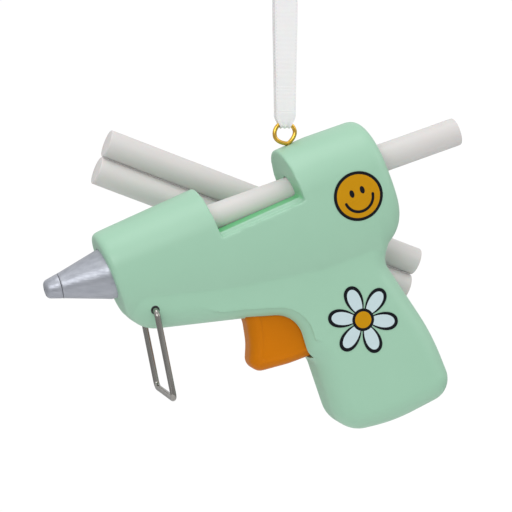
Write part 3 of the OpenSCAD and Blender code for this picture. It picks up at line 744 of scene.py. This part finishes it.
# %% Bend the ring and turn its shank
RING_RADIUS, RING_STEPS = 2.65, 96
ring_line = []
for k in range(RING_STEPS):
    t = math.tau * k / RING_STEPS
    x, z = math.sin(t), math.cos(t)
    if z < 0:
        z = -math.sqrt(1 - abs(x) ** 1.25)
    ring_line.append(Vector((RING_RADIUS * x, 0, RING_RADIUS * z)))
ring_bm = wire(ring_line, 0.525, closed=True, rings=10)
thread = [(0.0, -2.6), (0.5, -2.7), (0.52, -3.6)]
for k in range(8):
    thread += [(0.55, -3.9 - 0.5 * k), (0.76, -4.1 - 0.5 * k), (0.55, -4.3 - 0.5 * k)]
thread += [(0.3, -8.0), (0.0, -8.05)]
joined(ring_bm, lathe(thread, 24))
finished("screw_eye", ring_bm, GUN @ Matrix.Translation(EYE), "gun", [gold],
                     ["screw_eye"], sharp=50)

# %% [markdown]
# ## Glue sticks
# A glue stick is a drawn rod of hot-melt glue. It is not quite straight or round, and its cut ends
# are slightly rounded. The loaded one slides in the gun, and two spares lie in a clip behind.

# %% Draw the glue sticks
STICK_RADIUS = 3.6


def glue_stick(start, end, seed):
    bm = bar(STICK_RADIUS, start, end, edge=0.32, segments=64)
    way = (Vector(end) - Vector(start)).normalized()
    length = (Vector(end) - Vector(start)).length
    for k in range(1, 40):
        spot = Vector(start) + way * (length * k / 40)
        bmesh.ops.bisect_plane(bm, geom=bm.verts[:] + bm.edges[:] + bm.faces[:], dist=1e-5,
                               plane_co=spot, plane_no=way)
    for v in bm.verts:
        run = (v.co - Vector(start)).dot(way)
        off = v.co - Vector(start) - way * run
        v.co -= off * (0.003 + 0.003 * random_field.noise(Vector((run * 0.09, seed, off.z * 0.2))))
    return bm


finished("loaded_glue_stick", glue_stick((-37.5, 0, 0), (43.5, 0, 0), 1.0), GUN,
                  "loaded_stick", [glue], ["glue_stick"])
SPARES = Matrix.Translation((-8.5, 16.45, -6.4)) @ Matrix.Rotation(math.radians(39.4), 4, "Y")
SPARE_RISE = STICK_RADIUS + 0.01
for name, height, seed in (("spare_stick_upper", SPARE_RISE, 5.0),
                           ("spare_stick_lower", -SPARE_RISE, 9.0)):
    finished(name, glue_stick((-44.25, 0, height), (44.25, 0, height), seed), GUN @ SPARES, "gun",
             [glue], [name])

# %% [markdown]
# ## The clip for the spares
# The clip is a double trough with a peg in the right half. Its section is cut from two round bars,
# and a bevel rounds its edges.

# %% Form the clip
TROUGH_RADIUS, TROUGH_RISE = 4.85, 3.65
clip_thing = as_object("clip", bar(TROUGH_RADIUS, (9, 0, TROUGH_RISE), (21, 0, TROUGH_RISE), 0.25, 64))
cut(clip_thing, bar(TROUGH_RADIUS, (9, 0, -TROUGH_RISE), (21, 0, -TROUGH_RISE), 0.25, 64), "UNION")
cut(clip_thing, block((9.1, -4.83, -TROUGH_RISE), (20.9, -1.6, TROUGH_RISE)), "UNION")
for height in (TROUGH_RISE, -TROUGH_RISE):
    cut(clip_thing, bar(STICK_RADIUS, (5, 0, height), (25, 0, height), segments=64))
cut(clip_thing, block((5, 1.62, -20), (25, 20, 20)))
clip_bm = bmesh.new()
clip_bm.from_mesh(clip_thing.data)
bpy.data.objects.remove(clip_thing)
clip_bm.transform(SPARES)
joined(clip_bm, cross_bar(CLIP, 1.48, 7, 11.7, 32))
finished("stick_clip", clip_bm, GUN, "gun", [mint], ["stick_clip"], sharp=30)

# %% [markdown]
# ## Stickers
# The stickers are thin printed films that follow the body's skin. Each is drawn flat in the XZ plane
# as a few layers, and every layer is laid on the skin a little higher than the one below: first the
# black outline, then the coloured shapes, then the small marks.

# %% Draw and lay a layer
def disc(radius, middle=(0, 0), reach=1.0, turn=0.0, taper=0.0, rings=6, steps=64):
    bm = bmesh.new()
    spokes = [bm.verts.new((radius * k / rings, 0, 0)) for k in range(rings + 1)]
    edges = [bm.edges.new(pair) for pair in zip(spokes, spokes[1:])]
    bmesh.ops.spin(bm, geom=spokes + edges, cent=(0, 0, 0), axis=(0, 1, 0), angle=math.tau,
                   steps=steps, use_merge=True)
    bmesh.ops.remove_doubles(bm, verts=bm.verts[:], dist=1e-5)
    for v in bm.verts:
        v.co.z *= 1 - taper * (1 - v.co.x / radius) / 2
        v.co.x *= reach
    bm.transform(Matrix.Translation((middle[0], 0, middle[1])) @ Matrix.Rotation(-turn, 4, "Y"))
    return bm


def arc_band(radius, width, start, end, middle, steps=24):
    bm = bmesh.new()
    spokes = [bm.verts.new((radius + width * (k - 1) / 2, 0, 0)) for k in range(3)]
    edges = [bm.edges.new(pair) for pair in zip(spokes, spokes[1:])]
    bm.transform(Matrix.Rotation(-start, 4, "Y"))
    bmesh.ops.spin(bm, geom=spokes + edges, cent=(0, 0, 0), axis=(0, 1, 0), angle=start - end,
                   steps=steps)
    for t in (start, end):
        joined(bm, disc(width / 2, (radius * math.cos(t), radius * math.sin(t)), rings=1, steps=16))
    bmesh.ops.translate(bm, verts=bm.verts[:], vec=(middle[0], 0, middle[1]))
    return bm


def lay(bm, lift, material_index):
    for v in bm.verts:
        hit = near_skin.ray_cast(Vector((v.co.x, -30, v.co.z)), Vector((0, 1, 0)))[0]
        v.co = hit + Vector((0, -1, 0)) * lift
    bmesh.ops.recalc_face_normals(bm, faces=bm.faces[:])
    for f in bm.faces:
        f.material_index = material_index
        if f.normal.y > 0:
            f.normal_flip()
    return bm


def sticker(name, layers, finishes, node):
    sheet_bm = bmesh.new()
    for shape, material_index, lift in layers:
        joined(sheet_bm, lay(shape, lift, material_index))
    mesh = bpy.data.meshes.new(name)
    sheet_bm.transform(GUN)
    sheet_bm.to_mesh(mesh)
    sheet_bm.free()
    return shown(name, mesh, "gun", finishes, [node], sharp=60)


# %% The smiling face
FACE = (REAR - 9.9, -5.2)
face_turn = math.radians(2.8)
face_x, face_z = math.cos(face_turn), math.sin(face_turn)


def on_face(right, up):
    return (FACE[0] + right * face_x - up * face_z, FACE[1] + right * face_z + up * face_x)


face_layers = [(disc(6.2, FACE, reach=1.03, turn=-TILT, rings=12, steps=96), 0, 0.10),
               (disc(5.45, FACE, reach=1.03, turn=-TILT, rings=12, steps=96), 1, 0.12)]
for side in (-1, 1):
    face_layers.append((disc(0.98, on_face(side * 1.42, 1.15), reach=0.62, turn=face_turn, rings=3,
                             steps=32), 0, 0.14))
face_layers.append((arc_band(3.7, 0.72, math.radians(-171.6) + face_turn,
                             math.radians(-8.4) + face_turn, on_face(0, -0.2), 32), 0, 0.14))
sticker("smiling_face_sticker", face_layers, [ink, mustard], "smiley_sticker")

# %% The daisy
DAISY = (3.2, -35.6)
daisy_layers = []
for grow, index, lift in ((0.0, 0, 0.10), (0.9, 1, 0.125)):
    for k in range(6):
        turn = math.radians(37 + 60 * k)
        near, far = 1.6, 9.2 - grow
        reach = (far - near) / 2
        wide = 2.75 - grow * 0.9
        middle = (DAISY[0] + (near + far) / 2 * math.cos(turn),
                  DAISY[1] + (near + far) / 2 * math.sin(turn))
        daisy_layers.append((disc(wide, middle, reach=reach / wide, turn=turn, taper=0.35,
                                  rings=6, steps=48), index, lift))
daisy_layers += [(disc(2.86, DAISY), 0, 0.14), (disc(2.12, DAISY), 2, 0.155)]
sticker("daisy_sticker", daisy_layers, [ink, petal_white, mustard], "daisy_sticker")

# %% [markdown]
# ## The works inside
# The measured nodes already have the right shape for the works, so they stay and only get finishes.

# %% Finish the measured nodes
for node, material in {"melt_chamber": alloy, "tube_gasket": seal_red, "barrel_tube": alloy,
                       "inlet_bush": rubber, "feed_carriage": dark_plastic, "link_arm": steel,
                       "trigger_pin": steel, "return_spring": steel, "stand_bushes": rubber,
                       "shell_screws": steel}.items():
    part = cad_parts[node]
    part.data.materials.clear()
    part.data.materials.append(material)
print("measured nodes finished")

# %% [markdown]
# ## Stage and light
# A pale floor far below and a white wall behind keep the picture white. A large soft light above
# gives the broad highlight on the barrel's top, one in front opens the shadows, and a weak one at the
# right lifts the rear of the collar.

# %% Set the stage
def stage_sheet(name, matrix, size, finish_of_it):
    bm = bmesh.new()
    bmesh.ops.create_grid(bm, x_segments=1, y_segments=1, size=size)
    bm.transform(matrix)
    mesh = bpy.data.meshes.new(name)
    bm.to_mesh(mesh)
    bm.free()
    sheet = bpy.data.objects.new(name, mesh)
    bpy.context.scene.collection.objects.link(sheet)
    mesh.materials.append(finish_of_it)
    return sheet


pale = bpy.data.materials.new("pale_floor")
pale.use_nodes = True
pale.node_tree.nodes["Principled BSDF"].inputs["Base Color"].default_value = (0.85, 0.85, 0.85, 1)
pale.node_tree.nodes["Principled BSDF"].inputs["Roughness"].default_value = 0.9
stage_sheet("floor", Matrix.Translation((0, 0, -0.45)), 0.6, pale)
glow = bpy.data.materials.new("white_backdrop")
glow.use_nodes = True
glow_shader = glow.node_tree.nodes["Principled BSDF"]
glow_shader.inputs["Base Color"].default_value = (0, 0, 0, 1)
glow_shader.inputs["Specular IOR Level"].default_value = 0
glow_shader.inputs["Emission Color"].default_value = (1, 1, 1, 1)
glow_shader.inputs["Emission Strength"].default_value = 1.02
backdrop = stage_sheet("backdrop", Matrix.Translation((0.3, 1.5, 0)) @ Matrix.Rotation(
    math.pi / 2, 4, "X"), 1.2, glow)
backdrop.visible_diffuse = False
backdrop.visible_glossy = False
backdrop.visible_shadow = False

# %% Light the studio
world = bpy.data.worlds.new("studio")
bpy.context.scene.world = world
world.use_nodes = True
sky_nodes, sky_links = world.node_tree.nodes, world.node_tree.links
sky_way = sky_nodes.new("ShaderNodeTexCoord")
sky_parts = sky_nodes.new("ShaderNodeSeparateXYZ")
sky_links.new(sky_way.outputs["Generated"], sky_parts.inputs["Vector"])
sky_range = sky_nodes.new("ShaderNodeMapRange")
sky_range.inputs["From Min"].default_value = -0.6
sky_range.inputs["From Max"].default_value = 0.6
sky_range.inputs["To Min"].default_value = 0.30
sky_range.inputs["To Max"].default_value = 0.88
sky_links.new(sky_parts.outputs["Z"], sky_range.inputs["Value"])
sky_seen = sky_nodes.new("ShaderNodeLightPath")
sky_mix = sky_nodes.new("ShaderNodeMix")
sky_mix.inputs["B"].default_value = 1.02
sky_links.new(sky_seen.outputs["Is Camera Ray"], sky_mix.inputs["Factor"])
sky_links.new(sky_range.outputs["Result"], sky_mix.inputs["A"])
sky_links.new(sky_mix.outputs["Result"], sky_nodes["Background"].inputs["Strength"])
sky_nodes["Background"].inputs["Color"].default_value = (1, 1, 1, 1)
bpy.context.scene.view_settings.view_transform = "Standard"


def soft_light(name, place, target, size, power):
    data = bpy.data.lights.new(name, "AREA")
    data.size = size
    data.energy = power
    lamp = bpy.data.objects.new(name, data)
    lamp.location = place
    lamp.rotation_euler = (Vector(target) - Vector(place)).to_track_quat("-Z", "Y").to_euler()
    bpy.context.scene.collection.objects.link(lamp)


soft_light("top_light", (-0.15, -0.25, 0.9), (0, 0, -0.07), 0.7, 2.2)
soft_light("front_light", (-0.5, -1.0, 0.25), (0, 0, -0.07), 0.5, 3.2)
soft_light("right_light", (0.7, -0.45, 0.3), (0, 0, -0.07), 0.4, 0.8)
print("stage set")
